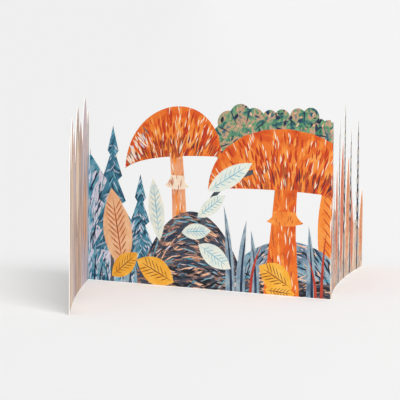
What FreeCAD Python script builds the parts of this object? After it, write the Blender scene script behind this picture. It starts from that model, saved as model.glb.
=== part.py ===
import FreeCAD, Part
import math
import os
from FreeCAD import Vector

# Die-cut concertina greeting card, one sheet of board with two folds.
# It stands on its lower edge. Lengths are millimetres, angles are degrees.
# The sheet is drawn flat: u runs along it from the free edge of the front flap, v runs up it.

# Board and panels
BOARD = 0.4                # thickness of the board
FRONT_WIDTH = 160.0        # flap that comes forward at the left
MIDDLE_WIDTH = 170.0
BACK_WIDTH = 170.0         # flap that goes back at the right
SHEET_HEIGHT = 115.0       # height of the uncut sheet
CREASE_RADIUS = 0.7        # centreline radius of both folds

# How far the folds stand open, and the slight bow of each flap along its length
FRONT_FOLD_ANGLE = 60.5
BACK_FOLD_ANGLE = 69.4
FRONT_BOW_ANGLE = 6.5
BACK_BOW_ANGLE = 12.7

# Places of the folds on the flat sheet
FRONT_FOLD = FRONT_WIDTH
BACK_FOLD = FRONT_FOLD + MIDDLE_WIDTH
SHEET_LENGTH = BACK_FOLD + BACK_WIDTH

# Height up to which each fold is uncut, and half the width of the front fold's plain strip
FRONT_CREASE_TOP = 78.0
BACK_CREASE_TOP = 104.5
CREASE_LAND = 2.2

# Area of the smallest gap in the picture that is cut through, in square millimetres
SMALLEST_WINDOW = 30.0

# Reed bed on the front flap, from its free edge: root u, tip u, tip height, width
REED_BANK_TOP = 80.0
REEDS = [
    (12, 6, 99, 34),
    (37, 41, 108, 36),
    (63, 60, 100, 34),
    (89, 93, 112, 38),
    (115, 112, 102, 34),
]

# Ground along the middle panel and the back flap
GROUND_TOP = 11.0

# The shapes from here on are measured from the front fold.
# Reeds beside the fold, as above
FOLD_REEDS = [
    (-24, -21, SHEET_HEIGHT, 34),
    (-7, -6, 106, 20),
]
# Slope and fir trees: centre u, foot height, top height, half width
SLOPE_TOP = FRONT_CREASE_TOP
SLOPE_RUN = 56.0
FIRS = [
    (18, 20, 97, 14),
    (38, 10, 68, 11),
]
TIER_HEIGHT = 15.0         # of a fir, fitted to a whole number of tiers
# Mounds of the ground: first u, last u, height
FRONT_MOUNDS = [
    (36, 114, 47),
]
# Small toadstool: stem foot u, stem top u, foot width, neck width
SMALL_STEM = (67, 63, 13, 9)
# Cap: centre u, half width, rim height, crown height, tilt of the rim
SMALL_CAP = (61, 34, 76, 110, 5)
# Drooping ring on the stem: centre u, height, half width at the stem, half width at the hem
SMALL_RING = (64, 68, 4.5, 8.5)
# Broad leaves: root u, root v, tip u, tip v, width
FRONT_LEAVES = [
    (52, 28, 47, 66, 11),
    (79, 44, 98, 58, 9),
    (86, 60, 116, 78, 11),
]
# Bent twig under the leaves: foot, bend and tip, then width at the foot and at the tip
TWIG = ((83, 20), (76, 62), (117, 73), 3.4, 2.4)
# Grass blades: root u, tip u, tip height, width
FRONT_GRASS = [
    (102, 97, 52, 6),
    (109, 113, 44, 6),
    (119, 116, 38, 6),
]

# The shapes from here on are measured from the back fold, with their values in the same order.
BACK_MOUNDS = [
    (-78, 22, 33),
    (-12, 90, 50),
    (62, 190, 34),
]
LARGE_STEM = (-33, -30, 24, 15)
LARGE_CAP = (-29, 55, 59, 99, -2)
LARGE_RING = (-31, 50, 7.5, 12.5)
# Bushy tops behind the large cap: centre u, centre v, radius
BUSHES = [
    (-60, 92, 16.0),
    (-37, 97, 11.0),
    (-18, 98, 11.5),
    (1, 89, 13.0),
]
LOBE_WIDTH = 10.6          # round a bush, fitted to a whole number of lobes
BACK_LEAVES = [
    (0, 0, 1, 86, 19),
    (64, 6, 59, 74, 15),
    (89, 6, 93, 88, 17),
    (116, 6, 119, 77, 15),
    (136, 4, 129, 60, 12),
    (163, 4, 167, 52, 11),
]
BACK_GRASS = [
    (-13, -15, 43, 6),
    (22, 17, 62, 8),
    (34, 39, 72, 8),
    (46, 42, 60, 7),
    (144, 141, 44, 7),
]
# Flower spires: centre u, foot height, top height, half width
SPIRES = [
    (76, 30, 103, 5.5),
    (103, 34, 112, 6.0),
    (128, 34, 94, 5.0),
    (153, 26, 99, 6.0),
]
FLORET_HEIGHT = 8.9        # on a spire, fitted to a whole number of florets
SPIRE_STALK = 2.6          # width of a spire's stalk at its foot

# Shared by both toadstools and all the bushes
CAP_RIM_DEPTH = 5.0        # how far the rim hangs below the gills
RING_DROP = 6.0
LOBE_SHARE = 0.48          # radius of a lobe as a share of the bush


def bent_edge(points):
    """A straight or Bezier edge through its control points, on the flat sheet."""
    poles = [Vector(u, 0, v) for u, v in points]
    if len(poles) == 2:
        return Part.makeLine(*poles)
    curve = Part.BezierCurve()
    curve.setPoles(poles)
    return curve.toShape()


def outline(start, *steps):
    """A flat face. Each step is (end), (control, end) or (control, control, end)."""
    edges = []
    here = start
    for step in steps:
        edges.append(bent_edge([here, *step]))
        here = step[-1]
    return Part.Face(Part.Wire(edges))


def reed(root, tip, height, width):
    """A tall pointed blade that stands on the lower edge."""
    half = width / 2
    return outline(
        (root - half, 0),
        ((root - 1.15 * half, 0.70 * height), (tip - 0.70 * half, 0.93 * height), (tip, height)),
        ((tip + 0.75 * half, 0.91 * height), (root + 1.15 * half, 0.68 * height), (root + half, 0)),
        ((root - half, 0),),
    )


def strip(first, last, height):
    """A plain upright rectangle on the lower edge."""
    return outline(
        (first, 0),
        ((last, 0),),
        ((last, height),),
        ((first, height),),
        ((first, 0),),
    )


def slope():
    """A hillside that falls away from the front fold."""
    return outline(
        (-CREASE_LAND, 0),
        ((-CREASE_LAND, SLOPE_TOP),),
        ((CREASE_LAND, SLOPE_TOP),),
        ((0.35 * SLOPE_RUN, 0.72 * SLOPE_TOP), (5 * SLOPE_RUN / 7, 0.38 * SLOPE_TOP), (SLOPE_RUN, 0)),
        ((-CREASE_LAND, 0),),
    )


def fir(centre, foot, top, half):
    """A fir with drooping tiers that narrow towards the top."""
    tiers = round((top - foot) / TIER_HEIGHT)
    rise = (top - foot) / tiers
    right = []
    for tier in range(tiers):
        reach = half * (1 - tier / tiers) + 1.2
        low = foot + tier * rise
        neck = half * (1 - (tier + 1) / tiers) * 0.55 + 0.6
        right.append((centre + reach, low))
        right.append((centre + neck, low + 0.82 * rise))
    left = [(2 * centre - u, v) for u, v in reversed(right)]
    points = [*right, (centre, top), *left]
    steps = [(point,) for point in points[1:]]
    return outline(points[0], *steps, (points[0],))


def mound(first, last, height):
    """A rounded rise of the ground."""
    quarter = (last - first) / 4
    peak = 4 * height / 3
    return outline(
        (first, 0),
        ((first + quarter, peak), (last - quarter, peak), (last, 0)),
        ((first, 0),),
    )


def stem(foot, top, foot_width, neck_width, cap_rim):
    """A toadstool's stem, wider at its foot and carried up into its cap."""
    high = cap_rim + 2 * CAP_RIM_DEPTH
    waist = 0.55 * high
    return outline(
        (foot - foot_width / 2, 0),
        ((foot - neck_width / 2, waist), (top - neck_width / 2, high)),
        ((top + neck_width / 2, high),),
        ((foot + neck_width / 2, waist), (foot + foot_width / 2, 0)),
        ((foot - foot_width / 2, 0),),
    )


def cap(centre, half, rim, crown, tilt):
    """A toadstool's cap: a domed top over a shallow hollow of gills."""
    left = (centre - half, rim - tilt)
    right = (centre + half, rim + tilt)
    rise = (crown - rim) * 4 / 3
    hollow = rim + CAP_RIM_DEPTH
    return outline(
        left,
        ((centre - 0.94 * half, rim - tilt + rise), (centre + 0.94 * half, rim + tilt + rise), right),
        ((centre + 0.62 * half, hollow), (centre - 0.62 * half, hollow), left),
    )


def ring(centre, height, inner, outer):
    """The ring that hangs round a toadstool's stem."""
    hem = height - RING_DROP
    return outline(
        (centre - inner, height),
        ((centre - inner, height - 3), (centre - outer, hem)),
        ((centre - 0.5 * outer, hem - 2.5), (centre + 0.5 * outer, hem - 2.5), (centre + outer, hem)),
        ((centre + inner, height - 3), (centre + inner, height)),
        ((centre - inner, height),),
    )


def bush(centre, height, radius):
    """A round leafy top made of equal lobes about a middle."""
    lobes = round(2 * math.pi * radius / LOBE_WIDTH)
    middle = Vector(centre, 0, height)
    lobe = LOBE_SHARE * radius
    faces = [disc(middle, radius * 0.8)]
    for number in range(lobes):
        turn = 2 * math.pi * number / lobes + 0.3
        reach = radius - 0.3 * lobe
        faces.append(disc(middle + Vector(reach * math.cos(turn), 0, reach * math.sin(turn)), lobe))
    return faces


def disc(middle, radius):
    """A flat round face."""
    return Part.Face(Part.Wire(Part.makeCircle(radius, middle, Vector(0, -1, 0))))


def leaf(root_u, root_v, tip_u, tip_v, width):
    """A leaf with two bowed sides from root to tip."""
    along = Vector(tip_u - root_u, 0, tip_v - root_v)
    across = Vector(-along.z, 0, along.x).normalize() * width
    root = Vector(root_u, 0, root_v)
    sides = []
    for sign in (1, -1):
        swell = root + along * 0.45 + across * sign
        sides.append((swell.x, swell.z))
    return outline(
        (root_u, root_v),
        (sides[0], (tip_u, tip_v)),
        (sides[1], (root_u, root_v)),
    )


def twig(foot, bend, tip, foot_width, tip_width):
    """A bent twig, thinner at its tip."""
    half_foot = foot_width / 2
    half_tip = tip_width / 2
    half_bend = (half_foot + half_tip) / 2
    return outline(
        (foot[0] - half_foot, foot[1]),
        ((bend[0] - half_bend, bend[1] + half_bend), (tip[0], tip[1] + half_tip)),
        ((tip[0], tip[1] - half_tip),),
        ((bend[0] + half_bend, bend[1] - half_bend), (foot[0] + half_foot, foot[1])),
        ((foot[0] - half_foot, foot[1]),),
    )


def grass_blade(root, tip, height, width):
    """A thin pointed blade from the lower edge."""
    half = width / 2
    return outline(
        (root - half, 0),
        ((root - 0.9 * half, 0.6 * height), (tip, height)),
        ((root + 0.9 * half, 0.55 * height), (root + half, 0)),
        ((root - half, 0),),
    )


def spire(centre, foot, top, half):
    """A flower spire: short pointed florets up both sides of a stalk."""
    florets = round((top - foot) / FLORET_HEIGHT) - 1
    pitch = (top - foot) / (florets + 1)
    right = [(centre + SPIRE_STALK / 2, 0), (centre + SPIRE_STALK / 2, foot)]
    for number in range(florets):
        share = 1 - 0.75 * number / florets
        low = foot + number * pitch
        right.append((centre + half * share, low + 0.75 * pitch))
        right.append((centre + 0.45 * half * share, low + pitch))
    left = [(2 * centre - u, v) for u, v in reversed(right)]
    points = [*right, (centre, top), *left]
    steps = [(point,) for point in points[1:]]
    return outline(points[0], *steps, (points[0],))


def toadstool(stem_values, cap_values, ring_values):
    """A stem with its cap and its ring."""
    rim_height = cap_values[2]
    return [stem(*stem_values, rim_height), cap(*cap_values), ring(*ring_values)]


def front_fold_shapes():
    """The shapes that are measured from the front fold."""
    faces = [slope(), twig(*TWIG)]
    faces += [reed(*values) for values in FOLD_REEDS]
    faces += [fir(*values) for values in FIRS]
    faces += [mound(*values) for values in FRONT_MOUNDS]
    faces += toadstool(SMALL_STEM, SMALL_CAP, SMALL_RING)
    faces += [leaf(*values) for values in FRONT_LEAVES]
    faces += [grass_blade(*values) for values in FRONT_GRASS]
    return faces


def back_fold_shapes():
    """The shapes that are measured from the back fold."""
    faces = [mound(*values) for values in BACK_MOUNDS]
    faces += toadstool(LARGE_STEM, LARGE_CAP, LARGE_RING)
    for values in BUSHES:
        faces += bush(*values)
    faces += [leaf(*values) for values in BACK_LEAVES]
    faces += [grass_blade(*values) for values in BACK_GRASS]
    faces += [spire(*values) for values in SPIRES]
    return faces


def cut_outline():
    """Every shape of the die-cut picture, joined into one flat face."""
    faces = [strip(0, FRONT_FOLD, REED_BANK_TOP), strip(FRONT_FOLD, SHEET_LENGTH, GROUND_TOP)]
    faces += [reed(*values) for values in REEDS]
    for fold, shapes in ((FRONT_FOLD, front_fold_shapes()), (BACK_FOLD, back_fold_shapes())):
        for face in shapes:
            face.translate(Vector(fold, 0, 0))
        faces += shapes
    return merged(faces)


def merged(faces):
    """One flat face from overlapping ones, with the gaps between them that are worth cutting."""
    pieces = faces[0].multiFuse(faces[1:])
    uses = {}
    for face in pieces.Faces:
        for edge in face.Edges:
            uses.setdefault(edge.hashCode(), []).append(edge)
    rim = [edges[0] for edges in uses.values() if len(edges) == 1]
    wires = [Part.Wire(run) for run in Part.sortEdges(rim)]
    wires = [wire for wire in wires if Part.Face(wire).Area > SMALLEST_WINDOW]
    return Part.makeFace(wires, "Part::FaceMakerBullseye")


def heading(angle):
    """A level unit vector."""
    turn = math.radians(angle)
    return Vector(math.cos(turn), math.sin(turn), 0)


def arc_band(start, angle, bow, length):
    """Plan of a bowed strip of board that leaves start at an angle, with its end and end angle."""
    radius = length / math.radians(abs(bow))
    side = 1 if bow > 0 else -1
    centre = start + heading(angle + 90 * side) * radius
    edges = []
    ends = []
    for reach in (radius - BOARD / 2, radius + BOARD / 2):
        at = [centre - heading(angle + 90 * side + bow * share) * reach for share in (0, 0.5, 1)]
        edges.append(Part.Arc(*at).toShape())
        ends.append((at[0], at[2]))
    edges.append(Part.makeLine(ends[0][0], ends[1][0]))
    edges.append(Part.makeLine(ends[0][1], ends[1][1]))
    face = Part.Face(Part.Wire(Part.__sortEdges__(edges)))
    end = centre - heading(angle + 90 * side + bow) * radius
    return face, end, angle + bow


def straight_band(start, angle, length):
    """Plan of a flat strip of board, with its end."""
    end = start + heading(angle) * length
    across = heading(angle + 90) * (BOARD / 2)
    corners = [start - across, end - across, end + across, start + across, start - across]
    return Part.Face(Part.makePolygon(corners)), end


def bow_depth(length, bow):
    """How deep a prism along a flap's chord has to be to hold its bow."""
    return length * math.radians(bow) / 4 + 4 * BOARD


def panel_prism(picture, corner, angle, u_at_corner, depth):
    """The picture pushed through a panel that passes the corner at an angle."""
    flat = picture.copy()
    flat.translate(Vector(-u_at_corner, -depth / 2, 0))
    prism = flat.extrude(Vector(0, depth, 0))
    prism.rotate(Vector(0, 0, 0), Vector(0, 0, 1), angle)
    prism.translate(corner)
    return prism


def build_card():
    """The folded sheet: two flaps and a middle panel, joined by two creases."""
    picture = cut_outline()
    up = Vector(0, 0, SHEET_HEIGHT)

    # The middle panel stands along X, its folds at equal distances from the middle.
    front_corner = Vector(-MIDDLE_WIDTH / 2, 0, 0)
    back_corner = Vector(MIDDLE_WIDTH / 2, 0, 0)

    # A flap's chord stands at the opening angle, so it leaves its fold turned by half its bow.
    front_chord = -FRONT_FOLD_ANGLE
    front_start = front_chord - FRONT_BOW_ANGLE / 2
    back_chord = 180 - BACK_FOLD_ANGLE
    back_start = back_chord + BACK_BOW_ANGLE / 2
    front_turn = 180 + front_start
    back_turn = back_start
    front_inset = CREASE_RADIUS * math.tan(math.radians(front_turn) / 2)
    back_inset = CREASE_RADIUS * math.tan(math.radians(back_turn) / 2)

    # Middle panel
    middle_start = front_corner + Vector(front_inset, 0, 0)
    flat_run = MIDDLE_WIDTH - front_inset - back_inset
    middle_plan, middle_end = straight_band(middle_start, 0, flat_run)
    middle = middle_plan.extrude(up)
    thin = 4 * BOARD
    middle = middle.common(panel_prism(picture, front_corner, 0, FRONT_FOLD, thin))

    # Back crease and back flap
    back_length = BACK_WIDTH - back_inset
    crease_arc = CREASE_RADIUS * math.radians(back_turn)
    plan, flap_start, angle = arc_band(middle_end, 0, back_turn, crease_arc)
    back_crease = plan.extrude(Vector(0, 0, BACK_CREASE_TOP))
    back_plan = arc_band(flap_start, angle, -BACK_BOW_ANGLE, back_length)[0]
    back_depth = bow_depth(BACK_WIDTH, BACK_BOW_ANGLE)
    back = back_plan.extrude(up)
    back = back.common(panel_prism(picture, back_corner, back_chord, BACK_FOLD, back_depth))

    # Front crease and front flap, drawn from the middle panel outwards
    front_length = FRONT_WIDTH - front_inset
    crease_arc = CREASE_RADIUS * math.radians(front_turn)
    plan, flap_start, angle = arc_band(middle_start, 180, front_turn, crease_arc)
    front_crease = plan.extrude(Vector(0, 0, FRONT_CREASE_TOP))
    front_plan = arc_band(flap_start, angle, FRONT_BOW_ANGLE, front_length)[0]
    front_depth = bow_depth(FRONT_WIDTH, FRONT_BOW_ANGLE)
    front = front_plan.extrude(up)
    front = front.common(panel_prism(picture, front_corner, front_chord + 180, FRONT_FOLD, front_depth))

    card = middle.multiFuse([front_crease, back_crease, front, back]).removeSplitter()
    solids = sorted(card.Solids, key=lambda solid: solid.Volume)
    print("solids", len(solids), "volume", round(card.Volume, 1), "valid", card.isValid())
    card = solids[-1]

    # The origin is under the middle of the card, on the surface that it stands on.
    box = card.optimalBoundingBox(False, False)
    card.translate(Vector(-(box.XMin + box.XMax) / 2, -(box.YMin + box.YMax) / 2, -box.ZMin))
    return card


def main():
    os.makedirs("parts", exist_ok=True)
    card = build_card()
    box = card.optimalBoundingBox(False, False)
    print("box", round(box.XLength, 2), round(box.YLength, 2), round(box.ZLength, 2))
    card.exportStep("parts/card.step")


main()
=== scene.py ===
import math
import random

import bmesh
import bpy
import numpy as np
from mathutils import Matrix, Vector
from mathutils.geometry import delaunay_2d_cdt


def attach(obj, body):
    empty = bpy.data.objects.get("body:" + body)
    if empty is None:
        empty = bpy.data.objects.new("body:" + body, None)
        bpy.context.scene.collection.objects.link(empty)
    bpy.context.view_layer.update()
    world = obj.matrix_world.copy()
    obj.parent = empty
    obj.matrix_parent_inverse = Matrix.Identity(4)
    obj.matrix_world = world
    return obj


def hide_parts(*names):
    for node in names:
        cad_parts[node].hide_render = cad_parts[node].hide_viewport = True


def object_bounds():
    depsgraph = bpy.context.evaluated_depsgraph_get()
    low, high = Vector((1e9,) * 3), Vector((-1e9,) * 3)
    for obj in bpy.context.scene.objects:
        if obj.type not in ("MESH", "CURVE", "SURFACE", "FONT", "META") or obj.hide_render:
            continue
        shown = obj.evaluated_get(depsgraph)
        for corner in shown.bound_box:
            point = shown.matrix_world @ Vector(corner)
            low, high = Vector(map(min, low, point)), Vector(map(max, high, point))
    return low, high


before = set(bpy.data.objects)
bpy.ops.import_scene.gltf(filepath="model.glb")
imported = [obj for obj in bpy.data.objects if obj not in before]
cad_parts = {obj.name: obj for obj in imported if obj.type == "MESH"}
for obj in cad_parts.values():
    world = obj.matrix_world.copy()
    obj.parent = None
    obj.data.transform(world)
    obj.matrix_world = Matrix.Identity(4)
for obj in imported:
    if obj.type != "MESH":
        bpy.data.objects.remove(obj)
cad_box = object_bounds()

# Printed concertina greeting card. Plan and print are worked out in millimetres, meshes in metres.
# The sheet is drawn flat: u runs along it from the free edge of the front flap, v runs up it.
random.seed(7)
MM = 0.001

# Folded plan of the sheet
BOARD = 0.4
FRONT_WIDTH = 160.0
MIDDLE_WIDTH = 170.0
BACK_WIDTH = 170.0
SHEET_HEIGHT = 115.0
CREASE_RADIUS = 0.7
FRONT_FOLD_ANGLE = 60.5
BACK_FOLD_ANGLE = 69.4
FRONT_BOW_ANGLE = 6.5
BACK_BOW_ANGLE = 12.7
FRONT_FOLD = FRONT_WIDTH
BACK_FOLD = FRONT_FOLD + MIDDLE_WIDTH
SHEET_LENGTH = BACK_FOLD + BACK_WIDTH

# Reading the outline from the solid's mesh
WELD = 0.002              # points nearer than this are one
LEVEL_STRIP = 20          # width of the strip that gives the middle panel's level
LEVEL_BAND = 0.5          # the middle panel's points lie this near its level
MIDDLE_SLACK = 0.01       # and may lie this far past its ends
FLAP_SLACK = 0.02         # a flap's points may lie this far into its crease
PRINTED_FROM = 0.4 * BOARD  # points further forward than this lie on the printed side

# Dividing the sheet into faces
BEND_PITCH = 10.0         # between the lines along which a flap may bend
BEND_MARGIN = 4.0         # how far those lines run past the sheet
CREASE_STEPS = 8          # faces round each crease
ON_LINE = 0.003           # rim points nearer than this to a bend line lie on it
RIM_MERGE = 0.00001       # the rim's points stay apart when the plain side is divided
UV_SPAN = 100             # millimetres of sheet to one unit of its texture coordinates
SHARP_ANGLE = 35          # edges that turn by more than this stay sharp

# Drawing the print
CURVE_STEPS = 10          # straight steps in a Bezier side
ROUND_STEPS = 28          # and in a round shape
UNDER = -1                # colour starts this far below the lower edge
BLEED = 0.5               # how far colour runs past its own cut edge
LEAF_BLEED = 0.4
BLADE_BLEED = 0.3
PRINT_START = -4          # the print runs past both ends of the sheet
PRINT_END = SHEET_LENGTH + 3
PLACE_TRIES = 40          # for each stroke that is scattered
STROKE_FORM = ((-0.22, 0.8), (0.05, 1.0), (0.3, 0.65))  # shares along a stroke, and of its width
RIB_SLANT = 42            # of a leaf's ribs to its midrib
UPRIGHT = 90

# Reeds on the front flap: root u, tip u, tip height, width and paint
REED_BANK_TOP = 80
REEDS = [
    (63, 60, 100, 34, "lilac"),
    (115, 112, 102, 34, "taupe"),
    (12, 6, 99, 34, "taupe"),
    (37, 41, 108, 36, "sand"),
    (89, 93, 112, 38, "taupe"),
    (153, 154, 106, 20, "steel"),
    (136, 139, 115, 34, "lilac"),
]
# Seed heads: middle u, middle v, length, width and paint
SEED_HEADS = [
    (41, 62, 54, 14, "cream"),
    (91, 68, 64, 24, "cream"),
    (137, 44, 48, 12, "peach_pale"),
]
# Slope: half width of its level top, run and height
SLOPE_LAND = 2.2
SLOPE_RUN = 56
SLOPE_TOP = 78
# Fir trees: centre u, foot height, top height, half width and tiers
FIRS = [
    (178, 20, 97, 14, 5),
    (198, 10, 68, 11, 4),
]
# Short grass on the slope: root u, tip u and tip height
SLOPE_GRASS = [
    (164, 166, 25),
    (168, 172, 18),
    (174, 169, 15),
    (190, 196, 25),
    (196, 192, 20),
]
# Bushes: centre u, centre v, radius and lobes
BUSHES = [
    (293, 97, 11.0, 7),
    (270, 92, 16.0, 9),
    (331, 89, 13.0, 8),
    (312, 98, 11.5, 7),
]
# Stems: foot u, top u, foot width, neck width and top height
SMALL_STEM = (227, 223, 13, 9, 86)
LARGE_STEM = (297, 300, 24, 15, 63)
# Caps: centre u, half width, rim height, crown height and tilt of the rim
SMALL_CAP = (221, 34, 76, 110, 5)
LARGE_CAP = (301, 55, 59, 99, -2)
CAP_HOLLOW = 5.0
PALE_RIM = (189, 71, 203, 97, 8)  # patch at the rim of the small cap, as a leaf has it
# Rings: centre u, height, half width at the stem and half width at the hem
SMALL_RING = (224, 68, 4.5, 8.5)
LARGE_RING = (299, 50, 7.5, 12.5)
RING_DROP = 6.0
# Mounds of the middle panel: first u, last u, height and paint
MOUNDS = [
    (318, 420, 50, "clay"),
    (252, 352, 33, "blue_grey"),
    (196, 274, 47, "slate"),
]
# Twig: foot, bend and tip, then width at the foot and at the tip
TWIG = ((243, 20), (236, 62), (277, 73), 3.4, 2.4)
# Grass: root u, tip u, tip height and width
GRASS = [
    (262, 257, 52, 6),
    (269, 273, 44, 6),
    (279, 276, 38, 6),
    (317, 315, 43, 6),
]
RED_GRASS = [
    (276, 284, 30, 2.0),
    (320, 313, 27, 2.0),
    (324, 327, 40, 2.0),
    (290, 283, 21, 2.0),
]
# Leaves: root u, root v, tip u, tip v, width, then body, veins and ribs
SLOPE_LEAF = ((186, 8, 177, 58, 20), "peach_pale", "rust", 9)
FOLD_LEAF = ((330, 0, 331, 86, 19), "orange_light", "red", 10)
LEAVES = [
    ((246, 60, 276, 78, 11), "pale_blue", "sky", 6),
    ((239, 44, 258, 58, 9), "pale_blue", "sky", 6),
    ((212, 28, 207, 66, 11), "pale_blue", "sky", 7),
    ((240, 27, 262, 14, 12), "pale_blue", "sky", 6),
    ((228, 34, 248, 36, 9), "pale_blue", "sky", 6),
    ((222, 3, 196, 15, 16), "ochre", "brown", 6),
    ((178, 4, 196, 19, 12), "ochre", "brown", 6),
    ((304, 5, 282, 17, 16), "ochre", "brown", 6),
    ((286, 3, 306, 1.5, 8), "ochre", "brown", 6),
]
BACK_LEAVES = [
    ((394, 6, 389, 74, 15), "coral", "rust", 9),
    ((419, 6, 423, 88, 17), "coral", "rust", 9),
    ((446, 6, 449, 77, 15), "apricot", "rust", 9),
    ((466, 4, 459, 60, 12), "coral", "rust", 9),
    ((493, 4, 497, 52, 11), "apricot", "rust", 9),
]
# The rest of the back flap: mounds, grass with its paint, and spires with their florets
BACK_MOUND = (392, 520, 34)
BACK_STROKE_MOUNDS = [(334, 414, 44), (392, 512, 34)]
BACK_GRASS = [
    (352, 347, 62, 8, "cream"),
    (364, 369, 72, 8, "steel"),
    (376, 372, 60, 7, "apricot"),
    (474, 471, 44, 7, "cream"),
]
SPIRES = [
    (406, 30, 103, 5.5, 7),
    (433, 34, 112, 6.0, 8),
    (458, 34, 94, 5.0, 6),
    (483, 26, 99, 6.0, 7),
]
SPIRE_STALK = 2.6

# Strokes over a shape: paint, count, lengths, widths and spread of their angle
REED_STROKES = [
    ("umber", 9, (24, 56), (0.4, 1.4), 3),
    ("sand", 10, (20, 60), (0.8, 2.6), 3),
    ("lilac", 7, (24, 60), (1.2, 3.4), 3),
    ("steel", 4, (20, 50), (0.8, 2.0), 3),
    ("cream", 9, (14, 44), (0.6, 1.8), 3),
    ("peach", 8, (14, 50), (0.8, 2.8), 3),
]
SLOPE_STROKES = [
    ("navy", 70, (5, 18), (0.6, 1.6), 18),
    ("sky", 60, (4, 12), (0.5, 1.6), 25),
    ("lilac_white", 130, (4, 14), (0.5, 1.4), 22),
]
FIR_STROKES = [
    ("navy", 36, (4, 10), (0.5, 1.2), 10),
    ("sky", 40, (3, 8), (0.4, 1.1), 10),
    ("lilac_white", 36, (2, 6), (0.3, 0.8), 10),
]
STEM_STROKES = [
    ("rust", 24, (4, 12), (0.5, 1.2), 14),
    ("cream", 20, (3, 8), (0.4, 0.9), 16),
    ("orange_light", 18, (5, 12), (0.8, 1.8), 10),
]
PALE_RIM_STROKES = [
    ("umber", 16, (3, 8), (0.5, 1.2), 14),
    ("lilac_white", 14, (3, 8), (0.5, 1.4), 14),
    ("cream", 22, (3, 8), (0.5, 1.4), 14),
]
MOUND_STROKES = [
    ("navy", 80, (4, 14), (0.5, 1.8), 16),
    ("peach", 44, (3, 10), (0.4, 1.2), 18),
    ("teal", 40, (5, 14), (0.5, 1.3), 20),
    ("lilac_white", 24, (2, 7), (0.3, 0.7), 20),
    ("ink", 50, (3, 9), (0.4, 1.2), 24),
]
# The cream and steel strokes on the back mounds are partly print and partly painted sheen, paler for
# the light the flap catches at a grazing angle
BACK_MOUND_STROKES = [
    ("umber", 40, (5, 14), (0.5, 1.4), 30),
    ("steel", 40, (5, 14), (0.6, 1.8), 30),
    ("cream", 60, (5, 16), (0.6, 1.8), 30),
]
# Patches of strokes: left, right, low and high side, then paint, count, lengths, widths, angle, spread
SLOPE_PATCHES = [
    ((163, 178, 16, 68), "lilac_white", 60, (4, 12), (0.8, 2.2), 75, 15),
    ((163, 205, 1, 32), "ink", 60, (3, 9), (0.4, 1.0), 100, 24),
    ((163, 205, 1, 38), "lilac_white", 90, (2, 8), (0.3, 0.8), 96, 24),
]
GROUND_PATCHES = [
    ((205, 328, 0, 12), "peach", 44, (5, 14), (0.5, 1.4), 5, 22),
    ((205, 328, 0, 12), "teal", 24, (5, 14), (0.5, 1.2), 25, 30),
    ((205, 328, 0, 12), "ink", 100, (4, 10), (0.6, 1.8), 5, 25),
]


def heading(angle):
    """A level unit vector."""
    return Vector((math.cos(math.radians(angle)), math.sin(math.radians(angle))))


# Angles, corners and centres of the folded plan
FRONT_CHORD = -FRONT_FOLD_ANGLE
BACK_CHORD = 180 - BACK_FOLD_ANGLE
FRONT_TURN = 180 + FRONT_CHORD - FRONT_BOW_ANGLE / 2
BACK_TURN = BACK_CHORD + BACK_BOW_ANGLE / 2
FRONT_INSET = CREASE_RADIUS * math.tan(math.radians(FRONT_TURN) / 2)
BACK_INSET = CREASE_RADIUS * math.tan(math.radians(BACK_TURN) / 2)
FRONT_CORNER = Vector((-MIDDLE_WIDTH / 2, 0))
BACK_CORNER = Vector((MIDDLE_WIDTH / 2, 0))
FRONT_CREASE_CENTRE = FRONT_CORNER + Vector((FRONT_INSET, -CREASE_RADIUS))
BACK_CREASE_CENTRE = BACK_CORNER + Vector((-BACK_INSET, CREASE_RADIUS))
FRONT_RADIUS = (FRONT_WIDTH - FRONT_INSET) / math.radians(FRONT_BOW_ANGLE)
BACK_RADIUS = (BACK_WIDTH - BACK_INSET) / math.radians(BACK_BOW_ANGLE)
FRONT_START = FRONT_CREASE_CENTRE + heading(90 + FRONT_TURN) * CREASE_RADIUS
BACK_START = BACK_CREASE_CENTRE + heading(BACK_TURN - 90) * CREASE_RADIUS
FRONT_CENTRE = FRONT_START + heading(FRONT_TURN - 90) * FRONT_RADIUS
BACK_CENTRE = BACK_START + heading(BACK_TURN - 90) * BACK_RADIUS

# Step from this plan to the row's origin, from the back fold's outer side and the middle panel's level
card_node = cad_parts["card"]
levels = [vert.co.y for vert in card_node.data.vertices if 0 < vert.co.x < LEVEL_STRIP * MM]
outer_side = BACK_CREASE_CENTRE.x + CREASE_RADIUS + BOARD / 2
SHIFT = Vector((cad_box[1][0] / MM - outer_side, (min(levels) + max(levels)) / 2 / MM))


def plan_point(u, offset):
    """Where a point of the flat sheet stands in plan, offset towards the printed side."""
    if u < FRONT_FOLD - FRONT_INSET:
        reach = FRONT_RADIUS - offset
        along = (FRONT_CENTRE - FRONT_CORNER).dot(heading(FRONT_CHORD))
        turn = math.degrees(math.acos((along - (FRONT_FOLD - u)) / reach))
        return FRONT_CENTRE - heading(FRONT_CHORD + turn) * reach
    if u < FRONT_FOLD + FRONT_INSET:
        share = (FRONT_FOLD + FRONT_INSET - u) / (2 * FRONT_INSET)
        return FRONT_CREASE_CENTRE + heading(90 + FRONT_TURN * share) * (CREASE_RADIUS - offset)
    if u <= BACK_FOLD - BACK_INSET:
        return FRONT_CORNER + Vector((u - FRONT_FOLD, -offset))
    if u < BACK_FOLD + BACK_INSET:
        share = (u - BACK_FOLD + BACK_INSET) / (2 * BACK_INSET)
        return BACK_CREASE_CENTRE + heading(BACK_TURN * share - 90) * (CREASE_RADIUS + offset)
    reach = BACK_RADIUS - offset
    along = (BACK_CENTRE - BACK_CORNER).dot(heading(BACK_CHORD))
    turn = math.degrees(math.acos((u - BACK_FOLD - along) / reach))
    return BACK_CENTRE + heading(BACK_CHORD + turn) * reach


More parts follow.
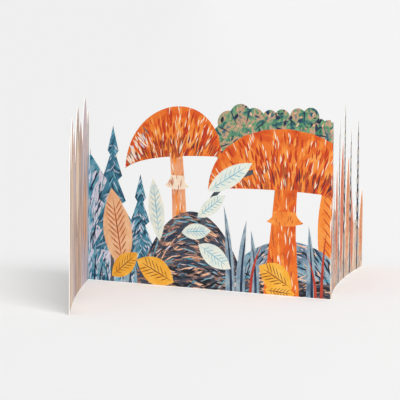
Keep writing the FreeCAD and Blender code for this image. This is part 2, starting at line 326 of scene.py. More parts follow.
def sheet_place(point):
    """The flat u of a point in plan, and how far it lies towards the printed side."""
    middle_end = MIDDLE_WIDTH / 2 - max(FRONT_INSET, BACK_INSET) + MIDDLE_SLACK
    if abs(point.y) < LEVEL_BAND and abs(point.x) < middle_end:
        return point.x - FRONT_CORNER.x + FRONT_FOLD, -point.y
    if point.y < 0:
        along = (point - FRONT_CORNER).dot(heading(FRONT_CHORD))
        if along > FRONT_INSET - FLAP_SLACK:
            return FRONT_FOLD - along, FRONT_RADIUS - (point - FRONT_CENTRE).length
    if point.x < 0:
        arm = point - FRONT_CREASE_CENTRE
        turn = math.degrees(math.atan2(arm.y, arm.x)) % 360 - 90
        share = min(max(turn / FRONT_TURN, 0), 1)
        return FRONT_FOLD + FRONT_INSET * (1 - 2 * share), CREASE_RADIUS - arm.length
    along = (point - BACK_CORNER).dot(heading(BACK_CHORD))
    if along > BACK_INSET - FLAP_SLACK:
        return BACK_FOLD + along, BACK_RADIUS - (point - BACK_CENTRE).length
    arm = point - BACK_CREASE_CENTRE
    turn = math.degrees(math.atan2(arm.y, arm.x)) + 90
    share = min(max(turn / BACK_TURN, 0), 1)
    return BACK_FOLD + BACK_INSET * (2 * share - 1), arm.length - CREASE_RADIUS


def cut_loops(node):
    """The cut outline and windows of the printed side, as closed flat loops."""
    welded = bmesh.new()
    welded.from_mesh(node.data)
    bmesh.ops.remove_doubles(welded, verts=welded.verts, dist=WELD * MM)
    welded.verts.ensure_lookup_table()
    flat = []
    for vert in welded.verts:
        place = Vector((vert.co.x / MM, vert.co.y / MM)) - SHIFT
        u, offset = sheet_place(place)
        flat.append((u, vert.co.z / MM, offset))
    cells = []
    for face in welded.faces:
        corners = [vert.index for vert in face.verts]
        if min(flat[index][2] for index in corners) >= PRINTED_FROM:
            cells.append(corners)
    welded.free()
    after = dict(open_sides(cells))
    loops = []
    while after:
        start, here = after.popitem()
        loop = [start]
        while here != start:
            loop.append(here)
            here = after.pop(here)
        loops.append([(flat[index][0], flat[index][1]) for index in loop])
    return sorted(loops, key=lambda loop: -abs(signed_area(loop)))


def cell_sides(cell):
    """The directed sides of a face."""
    return zip(cell, cell[1:] + cell[:1])


def open_sides(cells):
    """The directed sides that only one cell has."""
    sides = {}
    for cell in cells:
        for first, second in cell_sides(cell):
            if sides.pop((second, first), None) is None:
                sides[(first, second)] = True
    return list(sides)


def signed_area(points):
    """Twice the area of a loop, positive when it runs anticlockwise."""
    pairs = zip(points, points[1:] + points[:1])
    return sum(a[0] * b[1] - b[0] * a[1] for a, b in pairs)


# Flat shapes, each a list of points


def between(a, b, share):
    """The point a share of the way from one point to another."""
    return a[0] + (b[0] - a[0]) * share, a[1] + (b[1] - a[1]) * share


def curve(points):
    """Points along a Bezier curve, without its last."""
    result = []
    for step in range(CURVE_STEPS):
        row = points
        while len(row) > 1:
            row = [between(a, b, step / CURVE_STEPS) for a, b in zip(row, row[1:])]
        result.append(row[0])
    return result


def shape(start, *steps):
    """A closed shape. Each step is (end), (control, end) or (control, control, end)."""
    points = []
    here = start
    for step in steps:
        points += [here] if len(step) == 1 else curve([here, *step])
        here = step[-1]
    return points


def bleed(points, amount):
    """The shape grown a little, so that its colour runs past its cut edge."""
    if signed_area(points) < 0:
        points = points[::-1]
    grown = []
    for before, here, after in zip(points[-1:] + points[:-1], points, points[1:] + points[:1]):
        along = Vector((after[0] - before[0], after[1] - before[1]))
        if along.length > 0:
            along.normalize()
        grown.append((here[0] + along.y * amount, here[1] - along.x * amount))
    return grown


def rectangle(left, right, low, high):
    """An upright rectangle."""
    return [(left, low), (right, low), (right, high), (left, high)]


def reed(root, tip, height, width):
    """A tall pointed blade that stands on the lower edge."""
    half = width / 2
    return shape(
        (root - half, UNDER),
        ((root - 1.15 * half, 0.70 * height), (tip - 0.70 * half, 0.93 * height), (tip, height)),
        ((tip + 0.75 * half, 0.91 * height), (root + 1.15 * half, 0.68 * height), (root + half, UNDER)),
        ((root - half, UNDER),),
    )


def slope():
    """The hillside beside the front fold, level for the width of the fold's plain strip."""
    left = FRONT_FOLD - SLOPE_LAND
    right = FRONT_FOLD + SLOPE_LAND
    end = FRONT_FOLD + SLOPE_RUN
    high = (FRONT_FOLD + 0.35 * SLOPE_RUN, 0.72 * SLOPE_TOP)
    low = (end - 2 * SLOPE_RUN / 7, 0.38 * SLOPE_TOP)
    return shape(
        (left, UNDER),
        ((left, SLOPE_TOP),),
        ((right, SLOPE_TOP),),
        (high, low, (end, UNDER)),
        ((left, UNDER),),
    )


def fir(centre, foot, top, half, tiers):
    """A fir with drooping tiers that narrow towards the top."""
    rise = (top - foot) / tiers
    right = []
    for tier in range(tiers):
        reach = half * (1 - tier / tiers) + 1.2
        neck = half * (1 - (tier + 1) / tiers) * 0.55 + 0.6
        low = foot + tier * rise
        right.append((centre + reach, low))
        right.append((centre + neck, low + 0.82 * rise))
    left = [(2 * centre - u, v) for u, v in reversed(right)]
    return [*right, (centre, top), *left]


def mound(first, last, height):
    """A rounded rise of the ground."""
    quarter = (last - first) / 4
    peak = 4 * height / 3
    return shape(
        (first, UNDER),
        ((first + quarter, peak), (last - quarter, peak), (last, UNDER)),
        ((first, UNDER),),
    )


def stem(foot, top, foot_width, neck_width, high):
    """A toadstool's stem, wider at its foot."""
    waist = 0.55 * high
    return shape(
        (foot - foot_width / 2, UNDER),
        ((foot - neck_width / 2, waist), (top - neck_width / 2, high)),
        ((top + neck_width / 2, high),),
        ((foot + neck_width / 2, waist), (foot + foot_width / 2, UNDER)),
        ((foot - foot_width / 2, UNDER),),
    )


def cap(centre, half, rim, crown, tilt):
    """A toadstool's cap: a domed top over a shallow hollow."""
    rise = (crown - rim) * 4 / 3
    left = (centre - half, rim - tilt)
    right = (centre + half, rim + tilt)
    hollow = rim + CAP_HOLLOW
    return shape(
        left,
        ((centre - 0.94 * half, rim - tilt + rise), (centre + 0.94 * half, rim + tilt + rise), right),
        ((centre + 0.62 * half, hollow), (centre - 0.62 * half, hollow), left),
    )


def ring(centre, height, inner, outer):
    """The ring that hangs round a toadstool's stem."""
    hem = height - RING_DROP
    return shape(
        (centre - inner, height),
        ((centre - inner, height - 3), (centre - outer, hem)),
        ((centre - 0.5 * outer, hem - 2.5), (centre + 0.5 * outer, hem - 2.5), (centre + outer, hem)),
        ((centre + inner, height - 3), (centre + inner, height)),
        ((centre - inner, height),),
    )


def disc(u, v, radius):
    """A round shape."""
    turns = [2 * math.pi * step / ROUND_STEPS for step in range(ROUND_STEPS)]
    return [(u + radius * math.cos(turn), v + radius * math.sin(turn)) for turn in turns]


def leaf(root_u, root_v, tip_u, tip_v, width):
    """A leaf with two bowed sides from root to tip."""
    along = Vector((tip_u - root_u, tip_v - root_v))
    across = Vector((-along.y, along.x)).normalized() * width
    swell = Vector((root_u, root_v)) + along * 0.45
    return shape(
        (root_u, root_v),
        (tuple(swell - across), (tip_u, tip_v)),
        (tuple(swell + across), (root_u, root_v)),
    )


def twig(foot, bend, tip, foot_width, tip_width):
    """A bent twig, thinner at its tip."""
    half_foot = foot_width / 2
    half_tip = tip_width / 2
    half_bend = (half_foot + half_tip) / 2
    return shape(
        (foot[0] - half_foot, foot[1]),
        ((bend[0] - half_bend, bend[1] + half_bend), (tip[0], tip[1] + half_tip)),
        ((tip[0], tip[1] - half_tip),),
        ((bend[0] + half_bend, bend[1] - half_bend), (foot[0] + half_foot, foot[1])),
        ((foot[0] - half_foot, foot[1]),),
    )


def grass_blade(root, tip, height, width):
    """A thin pointed blade from the lower edge."""
    half = width / 2
    return shape(
        (root - half, UNDER),
        ((root - 0.9 * half, 0.6 * height), (tip, height)),
        ((root + 0.9 * half, 0.55 * height), (root + half, UNDER)),
        ((root - half, UNDER),),
    )


def floret_share(number, florets):
    """How large a floret is beside the lowest one of its spire."""
    return 1 - 0.75 * number / florets


def spire(centre, foot, top, half, florets):
    """A flower spire: short pointed florets up both sides of a stalk."""
    pitch = (top - foot) / (florets + 1)
    right = [(centre + SPIRE_STALK / 2, UNDER), (centre + SPIRE_STALK / 2, foot)]
    for number in range(florets):
        share = floret_share(number, florets)
        low = foot + number * pitch
        right.append((centre + half * share, low + 0.75 * pitch))
        right.append((centre + 0.45 * half * share, low + pitch))
    left = [(2 * centre - u, v) for u, v in reversed(right)]
    return [*right, (centre, top), *left]


def stroke(u, v, angle, length, width, bend=0.0):
    """A brush stroke, pointed at both ends, about a middle point."""
    turn = math.radians(angle)
    along = Vector((math.cos(turn), math.sin(turn)))
    across = Vector((-along.y, along.x))
    middle = Vector((u, v))
    right = []
    left = []
    for share, swell in STROKE_FORM:
        spine = middle + along * (share * length) + across * (bend * (share * share - 0.25) * length)
        right.append(tuple(spine - across * (swell * width / 2)))
        left.append(tuple(spine + across * (swell * width / 2)))
    start = tuple(middle - along * (length / 2))
    end = tuple(middle + along * (length / 2))
    return [start, *right, end, *reversed(left)]


def holds(points, u, v):
    """Whether a shape holds a point."""
    inside = False
    for (au, av), (bu, bv) in zip(points, points[1:] + points[:1]):
        if (av > v) != (bv > v) and u < au + (v - av) / (bv - av) * (bu - au):
            inside = not inside
    return inside


# The print, from the back to the front
layers = []


def lay(points, paint):
    """One more shape on top of the print."""
    layers.append((points if signed_area(points) > 0 else points[::-1], paint))


def scatter(region, paint, count, length, width, angle, spread, bend=0.15):
    """Strokes of one paint over a region. The angle is a number, or a rule from a place to one."""
    us = [u for u, v in region]
    vs = [v for u, v in region]
    placed = 0
    for _ in range(PLACE_TRIES * count):
        u = random.uniform(min(us), max(us))
        v = random.uniform(min(vs), max(vs))
        if not holds(region, u, v):
            continue
        lean = angle(u, v) if callable(angle) else angle
        lean += random.uniform(-spread, spread)
        size = random.uniform(*length)
        lay(stroke(u, v, lean, size, random.uniform(*width), random.uniform(-bend, bend)), paint)
        placed += 1
        if placed == count:
            break


def brush(region, rows, angle):
    """Strokes of several paints over a region, one row of values for each."""
    for paint, count, length, width, spread in rows:
        scatter(region, paint, count, length, width, angle, spread)


def blade(root, tip, height, width, paint, vein, step):
    """A blade of grass, with a narrow vein that is rooted a step beside its middle."""
    lay(bleed(grass_blade(root, tip, height, width), BLADE_BLEED), paint)
    lay(grass_blade(root + step, tip + 0.3, height * 0.86, width * 0.3), vein)


def veined_leaf(points, body, vein, ribs):
    """A leaf with a midrib and ribs that slant towards its tip."""
    root_u, root_v, tip_u, tip_v, width = points
    midrib_width = max(0.05 * width, 0.7)
    rib_width = max(0.04 * width, 0.5)
    lay(bleed(leaf(*points), LEAF_BLEED), body)
    root = Vector((root_u, root_v))
    along = Vector((tip_u - root_u, tip_v - root_v))
    turn = math.degrees(math.atan2(along.y, along.x))
    middle = root + along * 0.47
    lay(stroke(middle.x, middle.y, turn, along.length * 0.9, midrib_width), vein)
    for number in range(ribs):
        share = 0.16 + 0.64 * number / ribs
        reach = 0.8 * width * 2 * share * (1 - share) + 0.12 * width
        for side in (1, -1):
            lean = math.radians(turn + side * RIB_SLANT)
            start = root + along * share
            end = start + Vector((math.cos(lean), math.sin(lean))) * reach
            place = (start + end) / 2
            lay(stroke(place.x, place.y, math.degrees(lean), reach, rib_width), vein)


def print_front_flap():
    """Reeds in upright strokes, with three seed heads."""
    lay(rectangle(PRINT_START, FRONT_FOLD, UNDER, REED_BANK_TOP + BLEED), "taupe")
    for root, tip, height, width, paint in REEDS:
        body = reed(root, tip, height, width)
        lay(bleed(body, BLEED), paint)
        brush(body, REED_STROKES, UPRIGHT)
    for u, v, length, width, paint in SEED_HEADS:
        lay(stroke(u, v, UPRIGHT, length + 5, width + 3), "umber")
        lay(stroke(u, v, UPRIGHT, length, width), paint)
        core = stroke(u, v, UPRIGHT, length, 0.8 * width)
        scatter(core, "peach", 6, (10, 24), (0.4, 1.0), UPRIGHT, 2)


def print_slope():
    """The hillside by the front fold, with its firs, a leaf and short grass."""
    hill = slope()
    lay(bleed(hill, BLEED), "teal")
    brush(hill, SLOPE_STROKES, lambda u, v: 76 - 0.6 * (u - FRONT_FOLD))
    for sides, *strokes in SLOPE_PATCHES:
        scatter(rectangle(*sides), *strokes)
    for values in FIRS:
        print_fir(*values)
    veined_leaf(*SLOPE_LEAF)
    for root, tip, height in SLOPE_GRASS:
        lay(grass_blade(root, tip, height, 3.2), "teal")
        lay(grass_blade(root + 0.8, tip + 0.8, height * 0.8, 1.2), "navy")


def print_fir(centre, foot, top, half, tiers):
    """A fir in strokes that droop to both sides, with a bough along each tier."""
    tree = fir(centre, foot, top, half, tiers)
    lay(bleed(tree, LEAF_BLEED), "fir_blue")
    brush(tree, FIR_STROKES, lambda u, v: -58 if u > centre else 238)
    lay(rectangle(centre - 1.3, centre + 1.1, UNDER, foot + 1.5), "bark")
    for tier in range(tiers):
        low = foot + tier * (top - foot) / tiers
        reach = half * (1 - tier / tiers) + 0.4
        for side in (1, -1):
            place = (centre + side * 0.5 * reach, low + 2.6)
            lay(stroke(*place, -side * 22, 0.9 * reach, 1.0, side * 0.3), "steel")


def print_toadstools():
    """The bushes, the small toadstool, and the cap of the large one."""
    for values in BUSHES:
        print_bush(*values)
    veined_leaf(*FOLD_LEAF)
    print_stem(SMALL_STEM, SMALL_RING, "apricot", "cream")
    print_cap(SMALL_CAP, 1.0)
    brush(leaf(*PALE_RIM), PALE_RIM_STROKES, 127)
    print_cap(LARGE_CAP, 1.6)


def print_bush(u, v, radius, lobes):
    """A bush in short strokes, with a dark line between each two lobes."""
    bush = disc(u, v, 1.42 * radius)
    lay(bush, "canopy")
    scatter(bush, "navy", 30, (2, 7), (0.8, 2.4), 40, 60)
    scatter(bush, "green", 46, (2, 6), (0.7, 1.8), 70, 60)
    scatter(bush, "peach", 22, (1.5, 4), (0.6, 1.4), 60, 60)
    for number in range(lobes):
        turn = 2 * math.pi * number / lobes + 0.3 + math.pi / lobes
        reach = 0.95 * radius
        place = (u + reach * math.cos(turn), v + reach * math.sin(turn))
        lay(stroke(*place, math.degrees(turn), 0.75 * radius, 0.9), "navy")


def print_stem(body, skirt, paint, skirt_paint):
    """A stem in upright strokes, with the ring that hangs round it."""
    foot, top, foot_width, neck_width, high = body
    lay(bleed(stem(*body), BLEED), paint)
    brush(stem(foot, top, foot_width - 2, neck_width - 2, high - 2), STEM_STROKES, UPRIGHT)
    hem = ring(*skirt)
    lay(bleed(hem, LEAF_BLEED), skirt_paint)
    scatter(hem, "rust", 9, (3, 5), (0.4, 0.8), lambda u, v: UPRIGHT - 4 * (u - skirt[0]), 6)


def print_cap(values, richness):
    """A cap in overlapping strokes that fan out from its crown, darker towards its gills."""
    centre, half, rim, crown, tilt = values
    body = cap(*values)
    lay(bleed(body, BLEED), "orange")
    low = cap(centre, half, rim, rim + 0.42 * (crown - rim), tilt)
    heart = cap(centre, 0.74 * half, rim + 4, crown - 12, tilt)
    inner = cap(centre, 0.96 * half, rim + 1, crown - 3, tilt)

    def fan(u, v):
        return math.degrees(math.atan2(v - rim + 0.9 * half, u - centre))

    scatter(heart, "red", int(8 * richness), (10, 20), (2, 5), fan, 8)
    scatter(heart, "orange_light", int(14 * richness), (10, 20), (2, 5), fan, 8)
    scatter(inner, "orange_light", int(76 * richness), (4, 11), (0.8, 2.4), fan, 10)
    scatter(inner, "red", int(70 * richness), (4, 10), (0.7, 1.8), fan, 12)
    scatter(low, "maroon", int(34 * richness), (4, 11), (0.5, 1.3), fan, 12)
    scatter(low, "rust", int(34 * richness), (4, 12), (0.6, 1.6), fan, 12)
    scatter(body, "cream", int(60 * richness), (2.5, 7), (0.35, 0.8), fan, 12)


def print_ground():
    """The mounds, the low ground, the stem of the large toadstool, a twig and grass."""
    for values in MOUNDS:
        print_mound(*values)
    lay(rectangle(196, BACK_FOLD, UNDER, 9), "slate")
    for sides, *strokes in GROUND_PATCHES:
        scatter(rectangle(*sides), *strokes)
    print_stem(LARGE_STEM, LARGE_RING, "orange", "orange_light")
    lay(bleed(twig(*TWIG), BLADE_BLEED), "bark")
    for values in GRASS:
        blade(*values, "blue_grey", "navy", 0.6)
    for values in RED_GRASS:
        lay(grass_blade(*values), "redline")


def print_mound(first, last, height, paint):
    """A mound in strokes that follow its round back."""
    hill = mound(first, last, height)
    lay(bleed(hill, BLEED), paint)
    brush(hill, MOUND_STROKES, lambda u, v: 2.2 * (0.5 * (first + last) - u))


def print_leaves():
    """The pale and the yellow leaves of the middle panel."""
    for values in LEAVES:
        veined_leaf(*values)


def print_back_flap():
    """Low mounds, broad leaves, grass and flower spires."""
    # The clay ground is the print's colour made paler: partly painted sheen of the back flap at a
    # grazing angle
    lay(rectangle(BACK_FOLD, PRINT_END, UNDER, 13), "clay")
    lay(bleed(mound(*BACK_MOUND), BLEED), "clay")
    for values in BACK_STROKE_MOUNDS:
        brush(mound(*values), BACK_MOUND_STROKES, 60)
    for values in BACK_LEAVES:
        veined_leaf(*values)
    for values in BACK_GRASS:
        blade(*values, "rust", 0.7)
    for centre, foot, top, half, florets in SPIRES:
        lay(bleed(spire(centre, foot, top, half, florets), BLADE_BLEED), "navy")
        pitch = (top - foot) / (florets + 1)
        for number in range(florets):
            share = floret_share(number, florets)
            for side in (1, -1):
                place = (centre + side * half * share * 0.5, foot + (number + 0.6) * pitch)
                lay(stroke(*place, UPRIGHT - side * 32, 0.9 * pitch, 2.2 * share), "cream")


def print_folds():
    """Worn paler line of each fold, and a pale strip of bare board along the lower edge that also
    stands for the floor's light reflected there, a painted reflection.
    """
    for fold, top in ((FRONT_FOLD, 77), (BACK_FOLD, 103)):
        worn = rectangle(fold - 0.5, fold + 0.5, 2, top)
        scatter(worn, "worn", 12, (4, 14), (0.3, 0.7), UPRIGHT, 2, 0.02)
    # Bare board along the lower edge, which is also a painted reflection of the floor's light
    lay(rectangle(PRINT_START, PRINT_END, -2, 0.45), "board")


lay(rectangle(PRINT_START - 2, PRINT_END + 3, -3, SHEET_HEIGHT + 3), "slate")
print_front_flap()
print_slope()
print_toadstools()
print_ground()
print_leaves()
print_back_flap()
print_folds()


# Paints: their tones, then the grain's scale along and up the sheet
PAINTS = {
    "taupe": (("93827a", "b39f94", "cbb2a2", "e6c7ad"), 60, 5),
    "lilac": (("a79ca8", "c6bac4", "dbd0d7", "c8b3aa"), 60, 5),
    "peach": (("cf9270", "e3ad89", "efc8a8", "e3b494"), 50, 6),
    "steel": (("6f8ba3", "8ea8bd", "abbfce", "9aa7b4"), 60, 5),
    "umber": (("6a5a5c", "80696a", "8c7467"), 40, 6),
    "sand": (("d9bfa6", "ead6c0", "dccdc4"), 40, 6),
    "cream": (("ecd3b4", "f4e2cb", "f6ead9"), 20, 10),
    "rust": (("a94424", "bd5a2e", "8e3a26"), 20, 10),
    "peach_pale": (("e3aa7c", "edbd90", "f3cca3"), 20, 14),
    "teal": (("23566f", "3b849d", "6ba9bb", "9fb2c0", "2c6780"), 12, 16),
    "navy": (("16202f", "22344e", "324a66"), 20, 14),
    "lilac_white": (("cfcae0", "e2dfec", "bfc4da"), 30, 10),
    "sky": (("5fa6c0", "7fbdd2", "9acbd9"), 20, 14),
    "fir_blue": (("1d4056", "2a6580", "4a8ca6", "2c6178"), 18, 14),
    "maroon": (("4f1f29", "6c2a2f", "7d342c"), 20, 14),
    "canopy": (("25405c", "2c6468", "6c9c76", "cf9f80", "3b7777", "35506c"), 14, 14),
    "green": (("2f6b56", "5a9468", "8cb384"), 20, 20),
    "apricot": (("dd8a5c", "eca477", "f0b48b"), 12, 8),
    "orange": (("c9441b", "dd5f20", "ea7a2b", "d8541e"), 8, 10),
    "orange_light": (("e8782a", "f08f3b", "f3a353"), 14, 14),
    "red": (("a92f1c", "c4401d", "b53a20"), 14, 14),
    # clay: partly the print's colour and partly painted sheen, made paler for the light the back flap
    # catches
    "clay": (("b19583", "cfae98", "e4c6b0", "a99a90"), 14, 14),
    "blue_grey": (("566b80", "7b95a8", "9db2bd", "66798a"), 14, 10),
    "slate": (("2a313e", "434b5a", "3a4250", "b58873", "2c3340"), 12, 44),
    "ink": (("14181f", "232a33"), 20, 20),
    "bark": (("38404b", "4d5660", "5f5a58"), 10, 20),
    "redline": (("a83429", "c04a35"), 10, 10),
    "pale_blue": (("cfe0df", "e3ebe0", "f1efdf"), 16, 16),
    "ochre": (("e39a28", "f0b03a", "f6c25a"), 12, 12),
    "brown": (("7d4521", "965729"), 20, 20),
    "coral": (("cf6447", "e2805c", "eb9c78"), 14, 8),
    "worn": (("e9dccd", "f3ece2"), 20, 20),
    "board": (("efebe4", "f6f3ee"), 30, 30),
    "board_back": (("ece7df", "f3efe8"), 12, 12),
}

# The part of the grain's range that the tones of a paint share
TONES_FROM = 0.32
TONES_SPAN = 0.36


def linear(part):
    """One part of a colour in linear light."""
    return part / 12.92 if part <= 0.04045 else ((part + 0.055) / 1.055) ** 2.4


def colour(code):
    """A colour from six hexadecimal digits."""
    return [linear(int(code[place:place + 2], 16) / 255) for place in (0, 2, 4)] + [1.0]


def paint_material(name, tones, scale_u, scale_v):
    """Matt paint on board: patchy tones, a fine tooth and a slight brushed relief."""
    material = bpy.data.materials.new(name)
    material.use_nodes = True
    nodes = material.node_tree.nodes
    links = material.node_tree.links
    shader = nodes["Principled BSDF"]
    shader.inputs["Roughness"].default_value = 0.72
    shader.inputs["Specular IOR Level"].default_value = 0.3
    place = nodes.new("ShaderNodeTexCoord")
    grain_map = nodes.new("ShaderNodeMapping")
    grain_map.inputs["Scale"].default_value = (scale_u, scale_v, 1)
    links.new(place.outputs["UV"], grain_map.inputs["Vector"])
    grain = nodes.new("ShaderNodeTexNoise")
    grain.inputs["Scale"].default_value = 1.0
    grain.inputs["Detail"].default_value = 5.0
    grain.inputs["Roughness"].default_value = 0.6
    grain.inputs["Distortion"].default_value = 0.4
    links.new(grain_map.outputs["Vector"], grain.inputs["Vector"])
    ramp = nodes.new("ShaderNodeValToRGB")
    stops = ramp.color_ramp.elements
    for number, tone in enumerate(tones):
        at = TONES_FROM + TONES_SPAN * number / (len(tones) - 1)
        stop = stops[number] if number < 2 else stops.new(at)
        stop.position = at
        stop.color = colour(tone)
    links.new(grain.outputs["Fac"], ramp.inputs["Fac"])
    tooth = nodes.new("ShaderNodeTexNoise")
    tooth.inputs["Scale"].default_value = 130.0
    tooth.inputs["Detail"].default_value = 3.0
    links.new(place.outputs["UV"], tooth.inputs["Vector"])
    tooth_tone = nodes.new("ShaderNodeMapRange")
    tooth_tone.inputs["To Min"].default_value = 0.9
    tooth_tone.inputs["To Max"].default_value = 1.1
    links.new(tooth.outputs["Fac"], tooth_tone.inputs["Value"])
    mix = nodes.new("ShaderNodeVectorMath")
    mix.operation = "MULTIPLY"
    links.new(ramp.outputs["Color"], mix.inputs[0])
    links.new(tooth_tone.outputs["Result"], mix.inputs[1])
    links.new(mix.outputs["Vector"], shader.inputs["Base Color"])
    relief = nodes.new("ShaderNodeBump")
    relief.inputs["Strength"].default_value = 0.12
    relief.inputs["Distance"].default_value = 0.0001
    links.new(tooth.outputs["Fac"], relief.inputs["Height"])
    links.new(relief.outputs["Normal"], shader.inputs["Normal"])
    return material


def on_sheet(centres, loops):
    """Which of the places lie on the board: within its outline and outside its windows."""
    inside = np.zeros(len(centres), bool)
    us, vs = centres.T
    for loop in loops:
        for (au, av), (bu, bv) in zip(loop, loop[1:] + loop[:1]):
            if av != bv:
                level = (av > vs) != (bv > vs)
                inside ^= level & (us < au + (vs - av) / (bv - av) * (bu - au))
    return inside


def bend_lines():
    """Places along the sheet where its mesh may bend."""
    lines = [BEND_PITCH * step for step in range(int(FRONT_WIDTH / BEND_PITCH))]
    lines += [BACK_FOLD + BEND_PITCH * step for step in range(1, int(BACK_WIDTH / BEND_PITCH) + 1)]
    for fold, inset in ((FRONT_FOLD, FRONT_INSET), (BACK_FOLD, BACK_INSET)):
        lines += [fold + inset * (2 * step / CREASE_STEPS - 1) for step in range(CREASE_STEPS + 1)]
    return lines


def divide(points, edges, shapes, tolerance):
    """The plane in triangles that keep to the edges, and the number of the top shape over each."""
    points = [Vector(point) for point in points]
    faces = []
    for loop in shapes:
        faces.append(list(range(len(points), len(points) + len(loop))))
        points += [Vector(point) for point in loop]
    flat, _, cells, origins, _, sources = delaunay_2d_cdt(points, edges, faces, 0, tolerance, True)
    return flat, [list(cell) for cell in cells], origins, [max(source, default=0) for source in sources]


def divide_front(loops):
    """The printed side: its points, its triangles and the paint of each."""
    points = []
    edges = []
    for loop in loops:
        first = len(points)
        edges += [(first + step, first + (step + 1) % len(loop)) for step in range(len(loop))]
        points += loop
    for line in bend_lines():
        edges.append((len(points), len(points) + 1))
        points += [(line, -BEND_MARGIN), (line, SHEET_HEIGHT + BEND_MARGIN)]
    flat, cells, _, tops = divide(points, edges, [outline for outline, paint in layers], WELD)
    centres = np.array([tuple(point) for point in flat])[np.array(cells)].mean(axis=1)
    wanted = on_sheet(centres, loops)
    kept = [(cell, layers[top][1]) for cell, top, good in zip(cells, tops, wanted) if good]
    return flat, [cell for cell, paint in kept], [paint for cell, paint in kept]


def divide_back(rim, sides):
    """The plain side within a rim: its points, its triangles, and its point for each of the rim."""
    edges = list(sides)
    for line in bend_lines():
        crossed = [place for place, point in enumerate(rim) if abs(point.x - line) < ON_LINE]
        crossed.sort(key=lambda place: rim[place].y)
        edges += zip(crossed, crossed[1:])
    flat, cells, origins, _ = divide(rim, edges, [], RIM_MERGE)
    behind = {index: place for place, origin in enumerate(origins) for index in origin}
    walls = [(behind[first], behind[second]) for first, second in sides]
    return flat, cells_within(cells, walls), behind


def cells_within(cells, sides):
    """The cells on the left of the directed sides, with all that they reach without crossing one."""
    owners = {side: number for number, cell in enumerate(cells) for side in cell_sides(cell)}
    walls = set(sides)
    found = set()
    waiting = [owners[side] for side in sides if side in owners]
    while waiting:
        number = waiting.pop()
        if number not in found:
            found.add(number)
            beyond = [side[::-1] for side in cell_sides(cells[number]) if side not in walls]
            waiting += [owners[side] for side in beyond if side in owners]
    return [cells[number] for number in sorted(found)]


def build_sheet():
    """The printed sheet: finely divided front, plain back and cut edges in one closed mesh."""
    front, front_cells, paints = divide_front(cut_loops(card_node))
    sides = open_sides(front_cells)
    rim = sorted({index for side in sides for index in side})
    rim_order = {index: place for place, index in enumerate(rim)}
    rim_sides = [(rim_order[first], rim_order[second]) for first, second in sides]
    back, back_cells, behind = divide_back([front[index] for index in rim], rim_sides)

    spots = []
    places = []
    order = []
    for flat, cells, offset in ((front, front_cells, BOARD / 2), (back, back_cells, -BOARD / 2)):
        used = sorted({index for cell in cells for index in cell})
        order.append({index: len(spots) + place for place, index in enumerate(used)})
        for index in used:
            u, v = flat[index]
            plan = plan_point(u, offset) + SHIFT
            spots.append((u / UV_SPAN, v / UV_SPAN))
            places.append((plan.x * MM, plan.y * MM, max(v, 0) * MM))

    names = list(PAINTS)
    faces = [[order[0][index] for index in cell] for cell in front_cells]
    slots = [names.index(paint) for paint in paints]
    faces += [[order[1][index] for index in reversed(cell)] for cell in back_cells]
    slots += [names.index("board_back")] * len(back_cells)
    for first, second in sides:
        pair = [order[1][behind[rim_order[index]]] for index in (first, second)]
        faces.append([order[0][second], order[0][first], *pair])
        slots.append(names.index("board"))
    mesh = bpy.data.meshes.new("printed_sheet")
    mesh.from_pydata(places, [], faces)
    for name in names:
        mesh.materials.append(paint_material(name, *PAINTS[name]))
    mesh.polygons.foreach_set("material_index", slots)
    layer = mesh.uv_layers.new(name="flat_sheet")
    for corner in mesh.loops:
        layer.data[corner.index].uv = spots[corner.vertex_index]
    mesh.polygons.foreach_set("use_smooth", [True] * len(faces))
    mesh.set_sharp_from_angle(angle=math.radians(SHARP_ANGLE))
    sheet = bpy.data.objects.new("printed_sheet", mesh)
    bpy.context.collection.objects.link(sheet)
    return sheet


# Studio, in metres
FLOOR_REACH = 40          # from the middle of the floor to its sides
FLOOR_LIT_SIDE = (0.86, 0.51, 0)  # direction in which the floor's painted shade gets paler
FLOOR_SHADE_BLEND = 0.16        # how far to each side of the card it does so
# tones of the floor's painted shade, from its shaded left to its lit right
FLOOR_SHADE_TONES = (0.835, 0.875)
SKY_STRENGTH = 0.54
# Lights: name, direction that they come from, strength, and how widely they spread in degrees
LIGHTS = [
    ("key", (0.8, -0.7, 1.1), 1.85, 38),
    ("fill", (0.5, -0.86, 0.45), 0.5, 100),
]


def floor_shade_material():
    """A plain pale matt surface with painted shade: a little darker towards the left, where less light
    falls.
    """
    material = bpy.data.materials.new("floor_painted_shade")
    material.use_nodes = True
    nodes = material.node_tree.nodes
    links = material.node_tree.links
    shader = nodes["Principled BSDF"]
    shader.inputs["Roughness"].default_value = 0.9
    shader.inputs["Specular IOR Level"].default_value = 0.0
    place = nodes.new("ShaderNodeTexCoord")
    across = nodes.new("ShaderNodeVectorMath")
    across.operation = "DOT_PRODUCT"
    across.inputs[1].default_value = FLOOR_LIT_SIDE
    links.new(place.outputs["Object"], across.inputs[0])
    # Painted shade: the floor's colour darkens towards the left
    tone = nodes.new("ShaderNodeMapRange")
    tone.inputs["From Min"].default_value = -FLOOR_SHADE_BLEND
    tone.inputs["From Max"].default_value = FLOOR_SHADE_BLEND
    tone.inputs["To Min"].default_value = FLOOR_SHADE_TONES[0]
    tone.inputs["To Max"].default_value = FLOOR_SHADE_TONES[1]
    links.new(across.outputs["Value"], tone.inputs["Value"])
    links.new(tone.outputs["Result"], shader.inputs["Base Color"])
    return material


def soft_light(name, toward, strength, spread):
    """A broad distant light that comes from the given direction."""
    data = bpy.data.lights.new(name, "SUN")
    data.energy = strength
    data.angle = math.radians(spread)
    light = bpy.data.objects.new(name, data)
    light.rotation_euler = Vector(toward).to_track_quat("Z", "Y").to_euler()
    bpy.context.collection.objects.link(light)


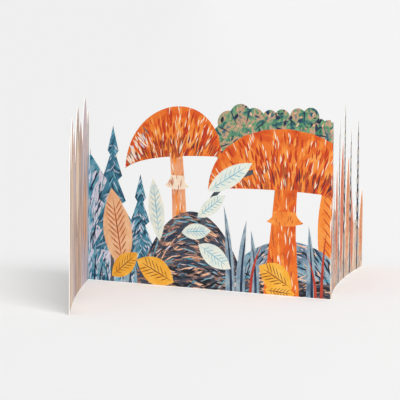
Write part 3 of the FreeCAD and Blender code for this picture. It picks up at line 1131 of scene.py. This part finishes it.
def build_studio():
    """The floor, the even light all round and the two lights."""
    floor_mesh = bpy.data.meshes.new("floor")
    corners = [(x, y, 0) for x, y in rectangle(-FLOOR_REACH, FLOOR_REACH, -FLOOR_REACH, FLOOR_REACH)]
    floor_mesh.from_pydata(corners, [], [(0, 1, 2, 3)])
    floor_mesh.materials.append(floor_shade_material())
    floor = bpy.data.objects.new("floor", floor_mesh)
    bpy.context.collection.objects.link(floor)

    world = bpy.data.worlds.new("studio")
    bpy.context.scene.world = world
    world.use_nodes = True
    background = world.node_tree.nodes["Background"]
    background.inputs["Color"].default_value = (1.0, 1.0, 1.0, 1)
    background.inputs["Strength"].default_value = SKY_STRENGTH
    for values in LIGHTS:
        soft_light(*values)


# Camera: its place in the plan's millimetres, and the directions of its picture's right, top and view
FRAME_PIXELS = 400
FOCAL_PIXELS = 2400
PICTURE_STEP = (-6.554, 5.760)  # in pixels, from the middle of the view to the middle of the picture
SENSOR_WIDTH = 36
CAMERA_PLACE = (729.446, -1243.042, 187.861)
CAMERA_RIGHT = (0.86201098, 0.50681373, 0.00877029)
CAMERA_UP = (-0.05544103, 0.07706993, 0.99548306)
CAMERA_FORWARD = (-0.50384855, 0.85860356, -0.09453341)


def build_camera():
    """The camera at the photograph's viewing angle."""
    data = bpy.data.cameras.new("camera")
    data.sensor_width = SENSOR_WIDTH
    data.lens = SENSOR_WIDTH * FOCAL_PIXELS / FRAME_PIXELS
    data.shift_x = PICTURE_STEP[0] / FRAME_PIXELS
    data.shift_y = PICTURE_STEP[1] / FRAME_PIXELS
    data.clip_end = 100
    camera = bpy.data.objects.new("camera", data)
    axes = (CAMERA_RIGHT, CAMERA_UP, -Vector(CAMERA_FORWARD))
    turn = Matrix(axes).transposed().to_4x4()
    x, y, z = CAMERA_PLACE
    place = Vector((x + SHIFT.x, y + SHIFT.y, z)) * MM
    camera.matrix_world = Matrix.Translation(place) @ turn
    bpy.context.collection.objects.link(camera)
    bpy.context.scene.camera = camera


sheet = build_sheet()
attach(sheet, "root")
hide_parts("card")
build_studio()
build_camera()
bpy.context.scene.view_settings.view_transform = "Standard"
